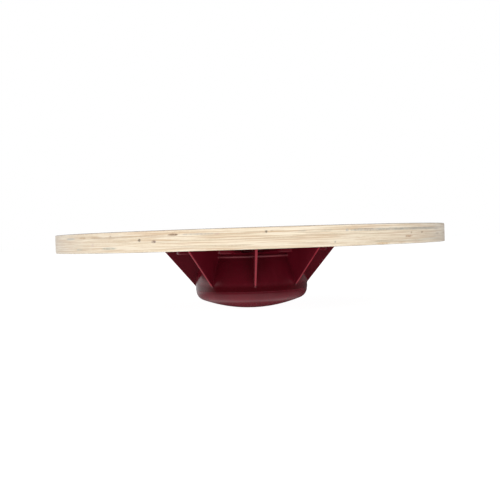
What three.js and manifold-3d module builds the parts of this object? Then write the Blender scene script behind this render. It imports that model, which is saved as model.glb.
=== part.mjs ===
// Balance board: a round plywood deck on a moulded dome fulcrum that rolls on the floor.
// Millimetres, +Z up. The origin is the foot of the dome, on the axis, at floor level.
import * as THREE from "three";
import { mergeVertices, toCreasedNormals } from "three/addons/utils/BufferGeometryUtils.js";
import Module from "manifold-3d";

const wasm = await Module();
wasm.setup();

// ---------------------------------------------------------------- driving dimensions
// In names, _R is a radius or distance from the axis, _Z a height, _T a thickness, _N a count.
const DECK_R = 203; // 406 mm (16 inch) deck
const DECK_Z = 64; // underside of the deck above the floor
const TOP_Z = 82; // standing surface above the floor
const FILM_T = 0.25; // anti-slip film bonded to the top veneer
const PLY_TOP = TOP_Z - FILM_T;
const ARRIS = 0.9; // eased lower edge of the plywood
const TOP_ARRIS = ARRIS * 0.6;

const PLATE_T = 5.3; // mounting plate and its fingers
const PLATE_Z = DECK_Z - PLATE_T;
const HUB_R = 47;
const FINGER_N = 8;
const FINGER_W = 16.2;
const FINGER_ROOT_R = HUB_R - 9; // the fingers start inside the hub
const FINGER_END_R = 75.7; // centre of each rounded finger end, and its screw hole

const SEAM_Z = 19.2; // skirt meets dome
const KNEE_Z = 24.2; // the ribs end and the flare begins here
const RIM_Z = 53.1;
const SKIRT_R_SEAM = 59.8;
const SKIRT_R_KNEE = 60.2; // the widest circle of the wall
const SKIRT_R_RIM = 50.3;
const FLARE_BOW = 1.6; // 1 is a straight cone; more leaves the knee steeper and bows the wall out
const WALL = 3.3;
const BEAD_R = 1.4; // half-round bead under the skirt's top flange
const BEAD_OFFSET = 0.2; // bead centre inward of the rim, and its extra height above it
const FLANGE_Z = PLATE_Z - 3; // underside of the top flange
const FLANGE_R = SKIRT_R_RIM - 0.6;
const FLANGE_BORE_R = 27;

const RIB_N = 8;
const RIB_TOP_R = 93.9; // reach of a rib under the deck
const RIB_FOOT_R = 60.6;
const RIB_INNER_R = 48.2;
const RIB_T_TOP = 2.6;
const RIB_T_FOOT = 1.9;
const RIB_LOW_Z = KNEE_Z - 0.95; // lowest point of a rib

const CAP_R = 145.7; // spherical rolling surface
const CORNER_R = 10.5; // corner between the cap and the band
const BAND_R = 59.6;
const FOOT_R = 16; // flat at the pole
const DOME_WALL = 3.5;
const SPIGOT_GAP = 0.3; // between the spigot and the inside of the skirt
const SPIGOT_TOP_Z = SEAM_Z + 4.5;
const POST = { radius: 10, bottom: 2, top: 22, facets: 24 }; // on the axis
const POST_BORE = { radius: 6.5, bottom: 5.5, top: 23, facets: 20 };
const WEB = { length: 47, thickness: 3, height: 15, midR: 31, midZ: 11.5 };

const CLAMP_N = 4; // screws that hold plate, skirt and dome together
const CLAMP_PCR = 34;
const CLAMP_L = 30;
const CLAMP_PILOT_Z = 31; // bottom of the pilot holes in the bosses
const BOSS_R = 5.5;
const BOSS_Z = 6;
const BOSS_ROUND = 20;

const SCREW_R = 2; // 4 mm countersunk screws
const HEAD_R = 4.2;
const HEAD_H = 2.2;
const TIP_R = 0.4;
const TIP_L = 1.6;
const RECESS = { length: 4.2, width: 0.9, depth: 1.5 }; // cross in the head
const DECK_SCREW_TIP_Z = DECK_Z + 14;
const PILOT_R = SCREW_R + 0.15;
const PILOT_SPARE = 0.3; // depth of a deck pilot hole beyond the screw tip
const HOLE_R = 2.25; // clearance hole
const SINK_R = 4.35; // mouth of a countersink
const SINK_TIP_R = HOLE_R - 0.2;
const SINK_DEPTH = 2.3;
const CUT = 1; // how far a cutter runs past the face it opens

// Facets of a full turn.
const ROUND = 64;
const DECK_ROUND = 128;
const SCREW_ROUND = 16;

const rad = (degrees) => (degrees * Math.PI) / 180;
const deg = (radians) => (radians * 180) / Math.PI;
const CREASE = rad(35); // edges sharper than this are shaded as creases

// ---------------------------------------------------------------- materials
const standard = (name, color, roughness, metalness) =>
  new THREE.MeshStandardMaterial({ name, color, roughness, metalness });
const plywood = standard("plywood", 0xe6d3b2, 0.62, 0);
const film = standard("film", 0x4a4340, 0.75, 0);
const maroon = standard("maroon", 0x6b1422, 0.3, 0);
const zinc = standard("zinc", 0xb9bbbd, 0.38, 1);

// ---------------------------------------------------------------- helpers
// A closed three.js geometry as a solid that can be joined and cut.
function solid(geometry) {
  geometry.deleteAttribute("normal");
  geometry.deleteAttribute("uv");
  const merged = mergeVertices(geometry, 1e-4);
  const index = merged.index.array;
  const triangles = [];
  for (let i = 0; i < index.length; i += 3) {
    const [a, b, c] = index.slice(i, i + 3);
    if (a !== b && b !== c && c !== a) triangles.push(a, b, c);
  }
  const make = () =>
    new wasm.Manifold(
      new wasm.Mesh({
        numProp: 3,
        vertProperties: new Float32Array(merged.attributes.position.array),
        triVerts: new Uint32Array(triangles),
      }),
    );
  const made = make();
  if (made.volume() >= 0) return made;
  // Inside out: turn every triangle over.
  for (let i = 0; i < triangles.length; i += 3) {
    [triangles[i + 1], triangles[i + 2]] = [triangles[i + 2], triangles[i + 1]];
  }
  return make();
}

const vectors = (points) => points.map(([x, y]) => new THREE.Vector2(x, y));

// A solid turned about Z from a profile of [radius, height] points.
function turned(points, facets = ROUND) {
  return solid(new THREE.LatheGeometry(vectors(points), facets).rotateX(Math.PI / 2));
}

const AXIS = { x: 0, y: 0 };

// A cone frustum along Z, standing at a place in plan.
function frustum(bottomR, bottom, topR, top, place = AXIS, facets = SCREW_ROUND) {
  const geometry = new THREE.CylinderGeometry(topR, bottomR, top - bottom, facets);
  geometry.rotateX(Math.PI / 2);
  geometry.translate(place.x, place.y, (bottom + top) / 2);
  return solid(geometry);
}

const rod = (radius, bottom, top, place, facets) =>
  frustum(radius, bottom, radius, top, place, facets);

// Points along an arc, angles in degrees, both ends included.
function arc(centreR, centreZ, radius, start, end, steps) {
  return Array.from({ length: steps + 1 }, (_, i) => {
    const angle = rad(start + ((end - start) * i) / steps);
    return [centreR + radius * Math.cos(angle), centreZ + radius * Math.sin(angle)];
  });
}

// Evenly spaced places on a circle; the first angle is in degrees, the returned ones in radians.
function around(count, first, radius) {
  return Array.from({ length: count }, (_, i) => {
    const angle = rad(first + (360 / count) * i);
    return { x: radius * Math.cos(angle), y: radius * Math.sin(angle), angle };
  });
}

const fingers = around(FINGER_N, 180 / FINGER_N, FINGER_END_R);
const clamps = around(CLAMP_N, 0, CLAMP_PCR);
const ribs = around(RIB_N, 0, RIB_TOP_R);

const group = new THREE.Group();
group.name = "balance_board";

function put(name, manifold, material) {
  const { vertProperties, triVerts } = manifold.getMesh();
  const geometry = new THREE.BufferGeometry();
  const positions = new THREE.BufferAttribute(new Float32Array(vertProperties), 3);
  geometry.setAttribute("position", positions);
  geometry.setIndex(new THREE.BufferAttribute(new Uint32Array(triVerts), 1));
  const mesh = new THREE.Mesh(toCreasedNormals(geometry, CREASE), material.clone());
  mesh.name = name;
  group.add(mesh);
}

// ---------------------------------------------------------------- deck
// One bonded plywood disc with eased edges. Blind pilot holes take the finger screws.
function plywoodDeck() {
  const bulge = ARRIS * 0.3; // middle point of the lower arris
  let deck = turned(
    [
      [0, DECK_Z],
      [DECK_R - ARRIS, DECK_Z],
      [DECK_R - bulge, DECK_Z + bulge],
      [DECK_R, DECK_Z + ARRIS],
      [DECK_R, PLY_TOP - TOP_ARRIS],
      [DECK_R - TOP_ARRIS, PLY_TOP],
      [0, PLY_TOP],
    ],
    DECK_ROUND,
  );
  for (const finger of fingers) {
    deck = deck.subtract(rod(PILOT_R, DECK_Z - CUT, DECK_SCREW_TIP_Z + PILOT_SPARE, finger));
  }
  return deck;
}

function antiSlipFilm() {
  const radius = DECK_R - TOP_ARRIS;
  return turned([[0, PLY_TOP], [radius, PLY_TOP], [radius, TOP_Z], [0, TOP_Z]], DECK_ROUND);
}

// ---------------------------------------------------------------- mounting plate
// A round-ended finger, from inside the hub out to its screw.
function plateFinger(angle) {
  const half = FINGER_W / 2;
  const outline = new THREE.Shape();
  outline.moveTo(FINGER_ROOT_R, -half);
  outline.lineTo(FINGER_END_R, -half);
  outline.absarc(FINGER_END_R, 0, half, -Math.PI / 2, Math.PI / 2, false);
  outline.lineTo(FINGER_ROOT_R, half);
  outline.closePath();
  const options = { depth: PLATE_T, bevelEnabled: false, curveSegments: 7 };
  const geometry = new THREE.ExtrudeGeometry(outline, options);
  geometry.translate(0, 0, PLATE_Z);
  geometry.rotateZ(angle);
  return solid(geometry);
}

// Finger screws go up into the deck, and the clamp screws go down through the hub,
// with their heads sunk under the deck.
function mountingPlate() {
  let plate = rod(HUB_R, PLATE_Z, DECK_Z, AXIS, ROUND);
  for (const finger of fingers) plate = plate.add(plateFinger(finger.angle));
  const mouthR = SINK_R + CUT;
  const hole = (place) => rod(HOLE_R, PLATE_Z - CUT, DECK_Z + CUT, place);
  for (const finger of fingers) {
    const sink = frustum(mouthR, PLATE_Z - CUT, SINK_TIP_R, PLATE_Z + SINK_DEPTH, finger);
    plate = plate.subtract(hole(finger)).subtract(sink);
  }
  for (const clamp of clamps) {
    const sink = frustum(SINK_TIP_R, DECK_Z - SINK_DEPTH, mouthR, DECK_Z + CUT, clamp);
    plate = plate.subtract(hole(clamp)).subtract(sink);
  }
  return plate;
}

// ---------------------------------------------------------------- ribbed skirt
// Outer and inner radius of the wall at a height.
function flare(z) {
  const rise = Math.max(0, z - KNEE_Z) / (RIM_Z - KNEE_Z);
  return SKIRT_R_KNEE - (SKIRT_R_KNEE - SKIRT_R_RIM) * rise ** FLARE_BOW;
}
const inner = (z) => flare(z) - WALL;

// A gusset rib from the knee up to the underside of the deck.
function skirtRib(angle) {
  const buriedZ = 40; // height of the outline's corner in mid-wall
  const outline = new THREE.Shape(
    vectors([
      [SKIRT_R_KNEE - 0.4, RIB_LOW_Z],
      [RIB_FOOT_R, KNEE_Z],
      [RIB_TOP_R, DECK_Z],
      [RIB_INNER_R, DECK_Z],
      [RIB_INNER_R, PLATE_Z - 1],
      [flare(buriedZ) - WALL / 2, buriedZ],
      [SKIRT_R_KNEE - WALL / 2, RIB_LOW_Z],
    ]),
  );
  outline.closePath();
  const geometry = new THREE.ExtrudeGeometry(outline, { depth: 1, bevelEnabled: false });
  geometry.translate(0, 0, -0.5);
  // Scale the unit thickness so that the rib thins towards its foot.
  const position = geometry.attributes.position;
  for (let i = 0; i < position.count; i++) {
    const rise = (position.getY(i) - KNEE_Z) / (DECK_Z - KNEE_Z);
    position.setZ(i, position.getZ(i) * (RIB_T_FOOT + (RIB_T_TOP - RIB_T_FOOT) * rise));
  }
  geometry.rotateX(Math.PI / 2);
  geometry.rotateZ(angle);
  return solid(geometry);
}

// A flared wall with a beaded rim, a top flange and ribs. Below the knee a short lip
// meets the dome.
function ribbedSkirt() {
  const beadR = SKIRT_R_RIM - BEAD_OFFSET;
  const beadZ = RIM_Z + BEAD_R + BEAD_OFFSET;
  let skirt = turned([
    [inner(SEAM_Z), SEAM_Z],
    [SKIRT_R_SEAM, SEAM_Z],
    [SKIRT_R_KNEE, KNEE_Z],
    ...[30, 36, 42, 47.5].map((z) => [flare(z), z]),
    [SKIRT_R_RIM, RIM_Z],
    ...arc(beadR, beadZ, BEAD_R, -80, 80, 5),
    [FLANGE_R, PLATE_Z],
    [FLANGE_BORE_R, PLATE_Z],
    [FLANGE_BORE_R, FLANGE_Z],
    ...[FLANGE_Z, 45, 34, KNEE_Z, SEAM_Z].map((z) => [inner(z), z]),
  ]);
  for (const rib of ribs) skirt = skirt.add(skirtRib(rib.angle));
  for (const clamp of clamps) {
    skirt = skirt.subtract(rod(HOLE_R, FLANGE_Z - CUT, PLATE_Z + CUT, clamp));
  }
  return skirt;
}

// ---------------------------------------------------------------- rolling dome
// The outside, from the pole up to the seam: flat foot, spherical cap, rounded corner, band.
function domeOutside(capCentreZ) {
  const cornerR = BAND_R - CORNER_R;
  const reach = CAP_R - CORNER_R; // from the cap's centre to the corner's
  const cornerZ = capCentreZ - Math.sqrt(reach ** 2 - cornerR ** 2);
  const tangent = -90 + deg(Math.asin(cornerR / reach)); // cap meets corner
  const foot = -90 + deg(Math.asin(FOOT_R / CAP_R));
  return [
    [0, 0],
    [FOOT_R, 0],
    ...arc(0, capCentreZ, CAP_R, foot, tangent, 8).slice(1),
    ...arc(cornerR, cornerZ, CORNER_R, tangent, 0, 6).slice(1),
    [SKIRT_R_SEAM, SEAM_Z],
  ];
}

// A bowl with a spigot that locates it in the skirt. Four bosses reach up to the
// skirt's flange, webs carry the load, and a bored post stands in the middle.
function rollingDome() {
  const capCentreZ = Math.sqrt(CAP_R ** 2 - FOOT_R ** 2);
  const innerCap = (r) => capCentreZ - Math.sqrt((CAP_R - DOME_WALL) ** 2 - r * r);
  const spigotR = inner(SEAM_Z) - SPIGOT_GAP;
  const outside = domeOutside(capCentreZ);
  let dome = turned([
    ...outside,
    [spigotR, SEAM_Z],
    [spigotR, SPIGOT_TOP_Z],
    [53.4, SPIGOT_TOP_Z],
    [54, 18],
    [50.5, 12.6],
    ...[44, 24, 0].map((r) => [r, innerCap(r)]),
  ]);
  const filled = turned([...outside, [0, SEAM_Z]]);
  for (const clamp of clamps) {
    const web = new THREE.BoxGeometry(WEB.length, WEB.thickness, WEB.height);
    web.translate(WEB.midR, 0, WEB.midZ);
    web.rotateZ(clamp.angle);
    dome = dome.add(solid(web).intersect(filled));
  }
  const onAxis = ({ radius, bottom, top, facets }) => rod(radius, bottom, top, AXIS, facets);
  dome = dome.add(onAxis(POST));
  for (const clamp of clamps) dome = dome.add(rod(BOSS_R, BOSS_Z, FLANGE_Z, clamp, BOSS_ROUND));
  dome = dome.subtract(onAxis(POST_BORE));
  for (const clamp of clamps) {
    dome = dome.subtract(rod(PILOT_R, CLAMP_PILOT_Z, FLANGE_Z + CUT, clamp));
  }
  return dome;
}

// ---------------------------------------------------------------- screws
// A countersunk screw along +Z, from its head face up to its tip.
function screw(headZ, length) {
  const tipZ = headZ + length;
  let body = turned(
    [
      [0, headZ],
      [HEAD_R, headZ],
      [SCREW_R, headZ + HEAD_H],
      [SCREW_R, tipZ - TIP_L],
      [TIP_R, tipZ],
      [0, tipZ],
    ],
    SCREW_ROUND,
  );
  for (const turn of [0, Math.PI / 2]) {
    const slot = new THREE.BoxGeometry(RECESS.length, RECESS.width, 2 * RECESS.depth);
    slot.rotateZ(turn);
    slot.translate(0, 0, headZ);
    body = body.subtract(solid(slot));
  }
  return body;
}

// Head up, flush with the underside of the deck.
const clampScrew = ({ x, y }) =>
  screw(0, CLAMP_L).rotate([180, 0, 0]).translate([x, y, DECK_Z]);

// Head down, flush with the underside of the plate.
const deckScrew = ({ x, y, angle }) =>
  screw(PLATE_Z, DECK_SCREW_TIP_Z - PLATE_Z).rotate([0, 0, deg(angle)]).translate([x, y, 0]);

// ---------------------------------------------------------------- assembly
put("plywood_deck", plywoodDeck(), plywood);
put("anti_slip_film", antiSlipFilm(), film);
put("mounting_plate", mountingPlate(), maroon);
put("ribbed_skirt", ribbedSkirt(), maroon);
put("rolling_dome", rollingDome(), maroon);
clamps.forEach((clamp, i) => put(`clamp_screw_${i + 1}`, clampScrew(clamp), zinc));
fingers.forEach((finger, i) => put(`deck_screw_${i + 1}`, deckScrew(finger), zinc));

export default group;
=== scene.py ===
"""Balance board: a round plywood deck on a ribbed plastic skirt with a rolling dome.

The axis is +Z, the dome's pole rests on the floor at z = 0 and the deck is on top.
The camera looks along +Y, so -X is on its left. Lengths are in millimetres unless
a comment says otherwise, and become metres when a mesh or shader is made.
"""
import math

import bmesh
import bpy
import numpy as np
from mathutils import Matrix, Vector
from mathutils.geometry import tessellate_polygon

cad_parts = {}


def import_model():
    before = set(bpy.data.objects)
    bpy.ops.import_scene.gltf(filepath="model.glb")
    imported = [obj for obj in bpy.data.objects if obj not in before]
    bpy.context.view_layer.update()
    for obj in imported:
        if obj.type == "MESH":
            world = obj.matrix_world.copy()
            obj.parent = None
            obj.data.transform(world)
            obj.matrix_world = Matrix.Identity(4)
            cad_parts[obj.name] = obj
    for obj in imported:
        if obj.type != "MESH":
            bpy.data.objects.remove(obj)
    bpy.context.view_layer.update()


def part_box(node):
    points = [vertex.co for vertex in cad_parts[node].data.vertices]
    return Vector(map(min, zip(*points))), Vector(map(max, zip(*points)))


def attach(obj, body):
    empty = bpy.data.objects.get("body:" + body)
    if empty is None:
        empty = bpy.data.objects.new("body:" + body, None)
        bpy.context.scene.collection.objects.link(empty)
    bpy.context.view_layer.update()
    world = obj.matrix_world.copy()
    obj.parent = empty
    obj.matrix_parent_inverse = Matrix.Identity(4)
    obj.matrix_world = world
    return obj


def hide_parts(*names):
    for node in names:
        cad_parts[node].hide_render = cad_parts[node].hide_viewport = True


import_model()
MM = 0.001


def box_mm(node):
    low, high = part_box(node)
    return [c / MM for c in low], [c / MM for c in high]


# ------------------------------------------------------------------ driving dimensions
deck_low, deck_high = box_mm("plywood_deck")
film_high = box_mm("anti_slip_film")[1]
skirt_low, skirt_high = box_mm("ribbed_skirt")

DECK_R = deck_high[0]
UNDER_Z = deck_low[2]  # underside of the deck
PLY_Z = deck_high[2]  # top of the plywood
TOP_Z = film_high[2]  # standing surface
FILM_R = film_high[0]
PLATE_Z = box_mm("mounting_plate")[0][2]  # underside of the mounting plate
SEAM_Z = skirt_low[2]  # where the skirt meets the dome
SEAM_R = 59.95
RIB_TOP_R = skirt_high[0]

# deck: plies as depths below the standing surface; the first runs along X, the next along Y
ARRIS = 0.9
PLIES = [3.5, 5.75, 7.0, 9.9, 13.5, 15.55]
CROSS_PLIES = list(zip(PLIES[::2], PLIES[1::2]))  # top and bottom of the plies along Y
HAIRLINES = [10.8, 12.05]
PILOT_R, PILOT_DEPTH = 2.15, 14.3

# mounting plate
HUB_R = 47.0
FINGER_W = 16.2
FINGER_END_R = 75.7  # centre of each finger's round end, and of its screw
SCREW_BORE_R = 2.25

# skirt
KNEE_Z, KNEE_R = 24.2, 60.2  # widest circle
RIM_Z, RIM_R = 53.1, 50.3  # top of the flared wall
FLARE_BOW = 1.6
BEAD_R = 1.4
BEAD_Z = RIM_Z + BEAD_R + 0.2
WALL = 3.3
FLANGE_BORE_R = 27.0
FLANGE_Z = PLATE_Z - 3.0
RIB_FOOT_R, RIB_INNER_R = 60.6, 48.2
RIB_T_TOP, RIB_T_FOOT = 2.6, 1.9  # rib thickness
RIB_CORNER_R = 0.55

# dome
CAP_R = 145.7
FOOT_R = 16.0  # flat at the pole
CAP_Z = math.sqrt(CAP_R ** 2 - FOOT_R ** 2)  # centre of the cap's sphere
CORNER_R = 10.5
BAND_R = 59.6
DOME_WALL = 3.5
CLAMP_PITCH_R = 34.0

FINGERS = [math.radians(22.5 + 45 * i) for i in range(8)]
CLAMPS = [math.radians(90 * i) for i in range(4)]


# ------------------------------------------------------------------ plan geometry
def polar(radius, angle):
    return radius * math.cos(angle), radius * math.sin(angle)


def turned(x, y, angle):
    c, s = math.cos(angle), math.sin(angle)
    return x * c - y * s, x * s + y * c


def quarter(count):
    return np.linspace(0, math.pi / 2, count)


def circle(radius, z, count, centre=(0.0, 0.0)):
    return [
        (centre[0] + radius * math.cos(a), centre[1] + radius * math.sin(a), z)
        for a in np.arange(count) * (2 * math.pi / count)
    ]


def arc(centre_r, centre_z, radius, start, end, steps):
    """Points (radius, height) along an arc between two angles in degrees."""
    angles = [math.radians(start + (end - start) * i / steps) for i in range(steps + 1)]
    return [(centre_r + radius * math.cos(a), centre_z + radius * math.sin(a)) for a in angles]


# ------------------------------------------------------------------ noise on points
def lattice_hash(ix, iy, iz, seed):
    """Integer hash of a lattice point, as a value between -1 and 1."""
    h = (ix * 374761393 + iy * 668265263 + iz * 1274126177 + seed * 974711) & 0xFFFFFFFF
    h = ((h ^ (h >> 13)) * 1103515245) & 0xFFFFFFFF
    h = ((h ^ (h >> 16)) * 2654435761) & 0xFFFFFFFF
    return ((h ^ (h >> 15)) & 0xFFFF) / 32767.5 - 1.0


def value_noise(x, y, z, cell, seed):
    """Smooth noise between -1 and 1; cell is the lattice spacing along x, y and z."""
    points = np.stack([x / cell[0], y / cell[1], z / cell[2]], -1)
    i = np.floor(points).astype(np.int64)
    f = points - i
    f = f * f * (3 - 2 * f)
    total = 0
    for dx in (0, 1):
        for dy in (0, 1):
            for dz in (0, 1):
                weight = (
                    (f[..., 0] if dx else 1 - f[..., 0])
                    * (f[..., 1] if dy else 1 - f[..., 1])
                    * (f[..., 2] if dz else 1 - f[..., 2])
                )
                corner = lattice_hash(i[..., 0] + dx, i[..., 1] + dy, i[..., 2] + dz, seed)
                total = total + weight * corner
    return total


# ------------------------------------------------------------------ mesh building
class Shell:
    """Collects points in millimetres and faces, ring by ring."""

    def __init__(self):
        self.points, self.faces = [], []

    def ring(self, points):
        start = len(self.points)
        self.points.extend([tuple(p) for p in points])
        return list(range(start, start + len(points)))

    def point(self, point):
        self.points.append(tuple(point))
        return len(self.points) - 1

    def bridge(self, a, b):
        for i in range(len(a)):
            j = (i + 1) % len(a)
            self.faces.append((a[i], a[j], b[j], b[i]))

    def bridge_all(self, rings):
        for a, b in zip(rings, rings[1:]):
            self.bridge(a, b)

    def fan(self, ring, tip):
        for i in range(len(ring)):
            self.faces.append((ring[i], ring[(i + 1) % len(ring)], tip))

    def fill(self, loops, flat_loops):
        """Fills the first loop, less the others, from their coordinates in the plane."""
        indices = [i for loop in loops for i in loop]
        polygons = [[Vector((x, y, 0)) for x, y in flat] for flat in flat_loops]
        for triangle in tessellate_polygon(polygons):
            self.faces.append(tuple(indices[i] for i in triangle))

    def cap(self, *loops):
        """Fills level loops; those after the first are holes."""
        self.fill(loops, [[self.points[i][:2] for i in loop] for loop in loops])

    def lathe(self, profile, count):
        """Turns (radius, height) points; a radius of 0 becomes one point."""
        last = None
        for r, z in profile:
            now = self.point((0, 0, z)) if r < 1e-9 else self.ring(circle(r, z, count))
            if last is not None:
                if isinstance(last, int):
                    self.fan(now, last)
                elif isinstance(now, int):
                    self.fan(last, now)
                else:
                    self.bridge(last, now)
            last = now

    def build(self, name, material, replaces=None, smooth_below=32.0, merge=1e-6):
        """Makes the object. smooth_below is in degrees and merge in metres."""
        mesh = bpy.data.meshes.new(name)
        mesh.from_pydata([(x * MM, y * MM, z * MM) for x, y, z in self.points], [], self.faces)
        bm = bmesh.new()
        bm.from_mesh(mesh)
        bmesh.ops.remove_doubles(bm, verts=bm.verts, dist=merge)
        bmesh.ops.dissolve_degenerate(bm, edges=bm.edges, dist=1e-7)
        bmesh.ops.recalc_face_normals(bm, faces=bm.faces)
        limit = math.radians(smooth_below)
        for face in bm.faces:
            face.smooth = True
        for edge in bm.edges:
            edge.smooth = len(edge.link_faces) == 2 and edge.calc_face_angle(0.0) < limit
        bm.to_mesh(mesh)
        bm.free()
        mesh.materials.append(material)
        ob = bpy.data.objects.new(name, mesh)
        bpy.context.scene.collection.objects.link(ob)
        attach(ob, "root")
        if replaces:
            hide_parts(replaces)
        return ob


# ------------------------------------------------------------------ shader building
def srgb(r, g, b):
    """Linear colour from 0-255 sRGB values."""

    def linear(c):
        c /= 255.0
        return c / 12.92 if c <= 0.04045 else ((c + 0.055) / 1.055) ** 2.4

    return linear(r), linear(g), linear(b)


class Nodes:
    """Wires the node tree of a material or world. Colours are 0-255 sRGB tuples."""

    def __init__(self, owner):
        owner.use_nodes = True
        self.owner = owner
        self.tree = owner.node_tree
        self.tree.nodes.clear()

    def node(self, kind, **props):
        made = self.tree.nodes.new(kind)
        for key, value in props.items():
            setattr(made, key, value)
        return made

    def link(self, output, socket):
        self.tree.links.new(output, socket)

    def put(self, socket, value):
        if isinstance(value, bpy.types.NodeSocket):
            self.link(value, socket)
        else:
            socket.default_value = value

    def math(self, operation, a, b=0.0, c=None, clamp=False):
        n = self.node("ShaderNodeMath", operation=operation, use_clamp=clamp)
        self.put(n.inputs[0], a)
        self.put(n.inputs[1], b)
        if c is not None:
            self.put(n.inputs[2], c)
        return n.outputs[0]

    def add(self, a, b):
        return self.math("ADD", a, b)

    def subtract(self, a, b):
        return self.math("SUBTRACT", a, b)

    def multiply(self, a, b):
        return self.math("MULTIPLY", a, b)

    def multiply_add(self, a, b, c):
        return self.math("MULTIPLY_ADD", a, b, c)

    def fold(self, operation, values, clamp=False):
        total = values[0]
        for value in values[1:]:
            total = self.math(operation, total, value, clamp=clamp)
        return total

    def square_radius(self, x, y):
        return self.add(self.multiply(x, x), self.multiply(y, y))

    def remap(self, value, span, to=(0.0, 1.0), smooth=False):
        """Maps span onto to, clamped."""
        n = self.node("ShaderNodeMapRange", clamp=True)
        n.interpolation_type = "SMOOTHSTEP" if smooth else "LINEAR"
        self.put(n.inputs["Value"], value)
        n.inputs["From Min"].default_value, n.inputs["From Max"].default_value = span
        n.inputs["To Min"].default_value, n.inputs["To Max"].default_value = to
        return n.outputs["Result"]

    def coords(self, output="Object"):
        return self.node("ShaderNodeTexCoord").outputs[output]

    def split(self, vector):
        n = self.node("ShaderNodeSeparateXYZ")
        self.link(vector, n.inputs[0])
        return n.outputs

    def noise(self, vector, scale=1.0, stretch=None, offset=(0, 0, 0), detail=4.0,
              roughness=0.55, distortion=0.0):
        """Noise at scale features per metre, or at stretch, given per axis."""
        if stretch:
            mapping = self.node("ShaderNodeMapping")
            self.link(vector, mapping.inputs["Vector"])
            mapping.inputs["Scale"].default_value = stretch
            mapping.inputs["Location"].default_value = offset
            vector = mapping.outputs[0]
        n = self.node("ShaderNodeTexNoise")
        self.link(vector, n.inputs["Vector"])
        n.inputs["Scale"].default_value = scale
        n.inputs["Detail"].default_value = detail
        n.inputs["Roughness"].default_value = roughness
        n.inputs["Distortion"].default_value = distortion
        return n.outputs["Fac"]

    def ramp(self, value, stops):
        n = self.node("ShaderNodeValToRGB")
        elements = n.color_ramp.elements
        while len(elements) > 1:
            elements.remove(elements[-1])
        elements[0].position = stops[0][0]
        elements[0].color = (*srgb(*stops[0][1]), 1)
        for position, color in stops[1:]:
            elements.new(position).color = (*srgb(*color), 1)
        self.link(value, n.inputs[0])
        return n.outputs[0]

    def mix(self, factor, under, over, blend="MIX"):
        n = self.node("ShaderNodeMix", data_type="RGBA", blend_type=blend, clamp_factor=True)
        self.put(n.inputs[0], factor)
        for socket, color in ((n.inputs[6], under), (n.inputs[7], over)):
            self.put(socket, (*srgb(*color), 1) if isinstance(color, tuple) else color)
        return n.outputs[2]

    def mix_float(self, factor, a, b):
        n = self.node("ShaderNodeMix", data_type="FLOAT", clamp_factor=True)
        self.put(n.inputs[0], factor)
        self.put(n.inputs[2], a)
        self.put(n.inputs[3], b)
        return n.outputs[0]

    def mix_vector(self, factor, a, b):
        n = self.node("ShaderNodeMix", data_type="VECTOR", clamp_factor=True)
        self.put(n.inputs[0], factor)
        self.put(n.inputs[4], a)
        self.put(n.inputs[5], b)
        return n.outputs[1]

    def mix_shader(self, factor, a, b):
        n = self.node("ShaderNodeMixShader")
        for socket, output in zip(n.inputs, (factor, a, b)):
            self.link(output, socket)
        return n.outputs[0]

    def bump(self, height, strength, distance, normal=None):
        """distance is in metres."""
        n = self.node("ShaderNodeBump")
        n.inputs["Strength"].default_value = strength
        n.inputs["Distance"].default_value = distance
        self.link(height, n.inputs["Height"])
        if normal is not None:
            self.link(normal, n.inputs["Normal"])
        return n.outputs[0]

    def edge_wear(self, radius, span=(0.03, 0.25)):
        """1 on edges, where the bevelled normal (radius in metres) leaves the true one."""
        bevel = self.node("ShaderNodeBevel", samples=4)
        bevel.inputs["Radius"].default_value = radius
        geometry = self.node("ShaderNodeNewGeometry")
        dot = self.node("ShaderNodeVectorMath", operation="DOT_PRODUCT")
        self.link(bevel.outputs[0], dot.inputs[0])
        self.link(geometry.outputs["Normal"], dot.inputs[1])
        return self.remap(self.subtract(1.0, dot.outputs["Value"]), span)

    def finish(self, color, roughness, normal, values):
        """Feeds a Principled surface and returns the material."""
        output = self.node("ShaderNodeOutputMaterial")
        bsdf = self.node("ShaderNodeBsdfPrincipled")
        self.link(bsdf.outputs[0], output.inputs["Surface"])
        self.link(color, bsdf.inputs["Base Color"])
        self.link(roughness, bsdf.inputs["Roughness"])
        self.link(normal, bsdf.inputs["Normal"])
        for key, value in values.items():
            bsdf.inputs[key].default_value = value
        return self.owner


# ------------------------------------------------------------------ plywood material
def ply_grain(m, place, axes, depth):
    """Returns the mask of plies along Y and coordinates whose x follows each ply's grain."""
    x, y, z = axes
    soft = 0.07  # half width of the change between plies
    cross = m.fold("ADD", [
        m.multiply(
            m.remap(depth, span=(top - soft, top + soft)),
            m.remap(depth, span=(bottom - soft, bottom + soft), to=(1.0, 0.0)),
        )
        for top, bottom in CROSS_PLIES
    ], clamp=True)
    # each ply is its own veneer: the noise jumps 1.7 m from one to the next
    jump = m.fold("ADD", [
        m.remap(depth, span=(b - 0.02, b + 0.02), to=(0.0, 1.7)) for b in PLIES
    ])
    swapped = m.node("ShaderNodeCombineXYZ")
    for socket, value in zip(swapped.inputs, (y, x, z)):
        m.link(value, socket)
    along = m.mix_vector(cross, place, swapped.outputs[0])
    offset = m.node("ShaderNodeCombineXYZ")
    m.link(jump, offset.inputs[1])
    m.link(jump, offset.inputs[2])
    shifted = m.node("ShaderNodeVectorMath", operation="ADD")
    m.link(along, shifted.inputs[0])
    m.link(offset.outputs[0], shifted.inputs[1])
    return cross, shifted.outputs[0]


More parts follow.
